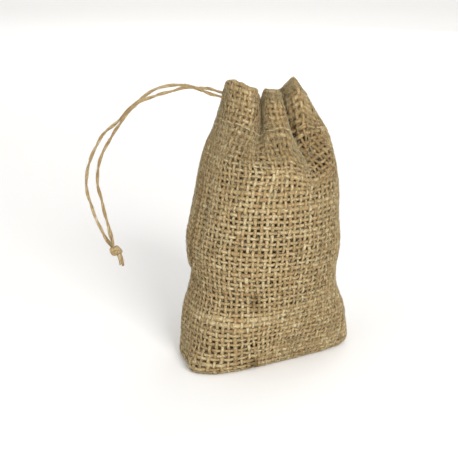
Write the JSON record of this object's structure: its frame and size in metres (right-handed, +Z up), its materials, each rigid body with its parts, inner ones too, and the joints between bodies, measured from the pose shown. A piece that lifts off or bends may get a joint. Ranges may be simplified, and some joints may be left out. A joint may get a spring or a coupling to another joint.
{
  "type": "burlap drawstring sack",
  "caption": "Small plump jute burlap pouch standing on its base, with a hemmed, gathered neck and a twine drawstring whose two ends are knotted together at one side.",
  "frame": {"origin": "centre of the sack's footprint box, on the surface that its base rests on", "axes": "+Z up along the sack, from its base to its gathered neck; -Y is the front; the drawstring leaves towards -X"},
  "size_m": [0.114, 0.0645, 0.1202],
  "materials": {
    "jute_hessian": "matte, coarse open plain weave",
    "jute_twine": "matte, loosely twisted fibres"
  },
  "bodies": {
    "root": {"sack_body": "jute_hessian", "drawstring_upper": "jute_twine", "drawstring_lower": "jute_twine", "drawstring_knot": "jute_twine", "drawstring_tail_front": "jute_twine", "drawstring_tail_back": "jute_twine"}
  },
  "joints": []
}
